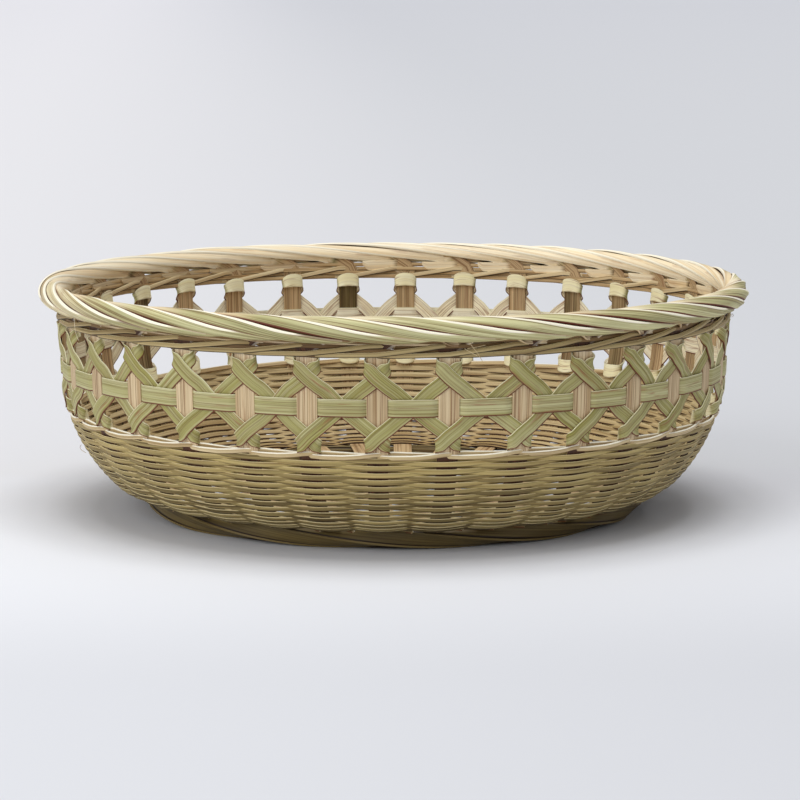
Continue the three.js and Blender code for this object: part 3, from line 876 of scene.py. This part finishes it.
def lattice_strip(parity, depth):
    """A strip that loops round the top of one stake and the bottom of the next, all the way round."""
    radius = float(wall_profile(length_at(BAND_MIDDLE))[0])
    table = []
    for stake in range(STAKES):
        way = LOOP_UP if (stake + parity) % 2 == 0 else -LOOP_DOWN
        size = 1 + 0.025 * rng.normal(size=2)
        table.append((float(stake_angle(stake - 0.5)), 0.0, depth, 360 * stake))
        for run, rise, out, facing in LOOP:
            angle = float(stake_angle(stake)) + run * size[0] / radius
            table.append((angle, way * rise * size[1], out, facing + 360 * stake))
    first = table[0]
    table.append((first[0] + tau, first[1], first[2], 360 * STAKES))
    angle, rise, out, facing = curve_through(table, 6).T
    length = length_at(BELT_HEIGHT + rise)
    facing = np.radians(facing)
    faces = wall_normal(angle, wall_profile(length)[2]) * column(np.cos(facing))
    faces = faces + radial(angle + pi / 2) * column(np.sin(facing))
    width = LATTICE_WIDTH * (1 - 0.3 * np.sin(facing) ** 2)
    strip = ribbon(on_wall(angle, length, out), faces, width, STRIP_THICKNESS, 0.75 + 0.2 * parity)
    # Paler where the strip passes behind a stake
    behind = smooth_step(-2 * np.cos(facing))
    return strip._replace(zone=np.stack([np.ones_like(behind), behind, np.zeros_like(behind)], 1))


belt = hoop(belt_length, belt_out, BELT_WIDTH, STRIP_THICKNESS, points=24, start=24)
add_strips("belt", [belt._replace(tone=0.15)], green_bamboo, "green_bamboo", ["band_belt"],
           section_points=16, squareness=9.0, crown=0.3)
for name, parity, depth in (("lattice_strip_outer", 0, 0.2), ("lattice_strip_inner", 1, -0.45)):
    add_strips(name + "_split", [lattice_strip(parity, depth)], green_bamboo, "green_bamboo", [name],
               section_points=16, squareness=9.0, crown=0.3)


# Rim core and foot


def ring(radius, height, width, thickness, tone):
    """A strip in a level circle."""
    angle = np.linspace(0, tau, 193)
    return ribbon(radial(angle) * radius + UP * height, radial(angle), width, thickness, tone)


def rope_strand(strand):
    """One splint of the rope round the foot."""
    angle = np.linspace(0, tau, 289)
    around = tau * strand / ROPE_STRANDS - angle * ROPE_TWISTS
    radius = ROPE_RADIUS + 0.15 * np.sin(5 * angle + strand)
    middle, away = around_ring(angle, around, radius, ROPE_CENTRE, ROPE_HEIGHT)
    strip = ribbon(middle, away, ROPE_STRAND_WIDTH, ROPE_STRAND_THICKNESS, rng.uniform())
    return tilted(strip, np.full_like(angle, ROPE_TILT))


core = ring(ROLL_CENTRE, ROLL_HEIGHT, CORE_WIDTH, CORE_WIDTH, 0.4)
# The rod under the core, dark outside: painted shade in the gap between roll and wale
under_core = ring(UNDER_CORE_RADIUS, UNDER_CORE_HEIGHT, 1.9, 1.4, 0.0)
add_strips("rim_core_hoop", [core, under_core], core_bamboo, "core_bamboo", ["rim_core"],
           section_points=12, squareness=2.2, crown=0.0)
foot_hoop = ring(FOOT_HOOP_RADIUS, FOOT_HEIGHT / 2, FOOT_HEIGHT, FOOT_HOOP_THICKNESS, 0.5)
add_strips("foot_hoop_strip", [foot_hoop], foot_bamboo, "foot_bamboo", ["foot_hoop"],
           section_points=12, squareness=9.0, crown=0.0)
rope = [rope_strand(strand) for strand in range(ROPE_STRANDS)]
add_strips("foot_rope", rope, foot_bamboo, "foot_bamboo", [f"foot_strand_{i}" for i in (1, 2, 3)],
           section_points=12, squareness=6.0, crown=0.3)


# Cut ends where the wall meets the foot, and stray fibres


def cut_end(place):
    """A short cut end of bamboo that stands out under the wall."""
    index = place + rng.uniform(0, 0.4) + np.linspace(0, rng.uniform(0.1, 0.2), 5)
    out = np.linspace(0.0, rng.uniform(2.2, 4.0), 5)
    height = CUT_END_HEIGHT + rng.uniform(-0.2, 0.4) + 0.05 * out
    outward = radial(stake_angle(index))
    middle = outward * column(CUT_END_RADIUS + out) + UP * column(height)
    return ribbon(middle, UP + outward, CUT_END_WIDTH, CUT_END_THICKNESS, rng.uniform())


def stray_fibre(index, height, run, rise, out):
    """A hair of bamboo that stands off the weave, bent a little outward."""
    share = np.linspace(0, 1, 9)
    outward = radial(stake_angle(index) + share * run / FIBRE_RADIUS)
    radius = wall_profile(length_at(height))[0] + FIBRE_OUT + out * np.sin(pi * share * 0.8)
    places = outward * column(radius) + UP * column(height + rise * share)
    return ribbon(places, outward, FIBRE_WIDTH, FIBRE_THICKNESS, rng.uniform())


cut_ends = [cut_end(place) for place in np.linspace(0, STAKES, CUT_ENDS, endpoint=False)]
add_strips("wall_cut_ends", cut_ends, edge_bamboo, "weft_bamboo", ["wall_row_1"],
           section_points=8, squareness=4.0, crown=0.2)
fibres = [stray_fibre(24.15, 97.5, 8.0, -11.0, 3.0), stray_fibre(17.6, 98.0, 5.0, -13.0, 2.0)]
for place in rng.uniform(0, STAKES, STRAY_FIBRES):
    height = rng.choice((rng.uniform(28, 48), 91.5))
    fibres.append(stray_fibre(place, height, rng.uniform(-8, 8), rng.uniform(-4, 4), rng.uniform(0.5, 2)))
add_strips("stray_fibres", fibres, edge_bamboo, "wale_bamboo", ["rim_wale_2"],
           section_points=6, squareness=2.0, crown=0.0)


# Stage, light and camera


def add_stage():
    """A pale table and the backdrop's colour beyond it, with painted light: lighter on the left and
    darker to the right, and lighter in a band round the front of the basket.
    """
    size = 14.0
    mesh = bpy.data.meshes.new("floor")
    corners = [(-size, -size, 0), (size, -size, 0), (size, size, 0), (-size, size, 0)]
    mesh.from_pydata(corners, [], [(0, 1, 2, 3)])
    floor = bpy.data.objects.new("floor", mesh)
    bpy.context.scene.collection.objects.link(floor)
    material = bpy.data.materials.new("pale_floor")
    material.use_nodes = True
    tree = Tree(material.node_tree)
    shader = tree.tree.nodes["Principled BSDF"]
    here = tree.node("ShaderNodeTexCoord").outputs["Object"]
    across, depth, _ = tree.node("ShaderNodeSeparateXYZ", {0: here}).outputs

    def share(value, low, high):
        return tree.ramp(value, low, high, interpolation_type="SMOOTHSTEP")

    # Painted light: the table is lighter on the left and darker to the right
    to_right = share(across, -0.3, 0.2)
    table = tree.mixed(to_right, (231, 232, 237), (211, 212, 218))
    # Painted light: lighter in a band beside and in front of the basket, which lifts its shadow, then
    # back near the plain table further toward the camera
    near = tree.mixed(to_right, (241, 243, 249), (226, 228, 234))
    table = tree.mixed(share(depth, -0.1, 0.05), near, table)
    front = tree.mixed(1.0, table, (240, 240, 240), "MULTIPLY")
    table = tree.mixed(share(depth, -0.36, -0.14), front, table)
    # The backdrop too is painted lighter on the left, and a little darker far off
    backdrop = tree.mixed(share(across, -0.4, 0.4), (230, 230, 234), (208, 210, 215))
    backdrop = tree.mixed(share(depth, 0.6, 9.0), backdrop, (251, 251, 253), "MULTIPLY")
    tree.link(tree.mixed(share(depth, 0.07, 0.1), table, backdrop), shader.inputs["Base Color"])
    shader.inputs["Roughness"].default_value = 0.9
    shader.inputs["Specular IOR Level"].default_value = 0.1
    mesh.materials.append(material)


def add_light():
    """Even light from all round, and two wide soft boxes."""
    world = bpy.data.worlds.new("studio")
    bpy.context.scene.world = world
    world.use_nodes = True
    tree = Tree(world.node_tree)
    lit = tree.tree.nodes["Background"]
    lit.inputs["Color"].default_value = srgb(255, 255, 255)
    lit.inputs["Strength"].default_value = 0.41
    seen = tree.first("ShaderNodeBackground", {"Color": srgb(214, 216, 221), "Strength": 1.0})
    by_camera = tree.node("ShaderNodeLightPath").outputs["Is Camera Ray"]
    both = tree.first("ShaderNodeMixShader", {0: by_camera, 1: lit.outputs[0], 2: seen})
    tree.link(both, tree.tree.nodes["World Output"].inputs["Surface"])
    for name, strength, spread, tilt, yaw in (("overhead_softbox", 0.51, 36, 3.5, -25),
                                              ("front_softbox", 0.36, 50, 67, 44)):
        lamp = bpy.data.lights.new(name, "SUN")
        lamp.energy = strength * pi
        lamp.angle = radians(spread)
        softbox = bpy.data.objects.new(name, lamp)
        softbox.rotation_euler = (radians(tilt), 0, CAMERA_AZIMUTH + pi / 2 - radians(yaw))
        bpy.context.scene.collection.objects.link(softbox)


def add_camera():
    """The photograph's view, from a little above the rim."""
    camera = bpy.data.cameras.new("camera")
    camera.lens = CAMERA_LENS
    camera.sensor_width = 36.0
    camera.shift_x, camera.shift_y = CAMERA_SHIFT
    obj = bpy.data.objects.new("camera", camera)
    away = radial(CAMERA_AZIMUTH) * cos(CAMERA_ELEVATION) + UP * sin(CAMERA_ELEVATION)
    obj.location = (UP * CAMERA_HEIGHT + away * CAMERA_DISTANCE) * MM
    obj.rotation_euler = (pi / 2 - CAMERA_ELEVATION, 0, CAMERA_AZIMUTH + pi / 2)
    bpy.context.scene.collection.objects.link(obj)
    bpy.context.scene.camera = obj


add_stage()
add_light()
add_camera()
bpy.context.scene.view_settings.view_transform = "Standard"
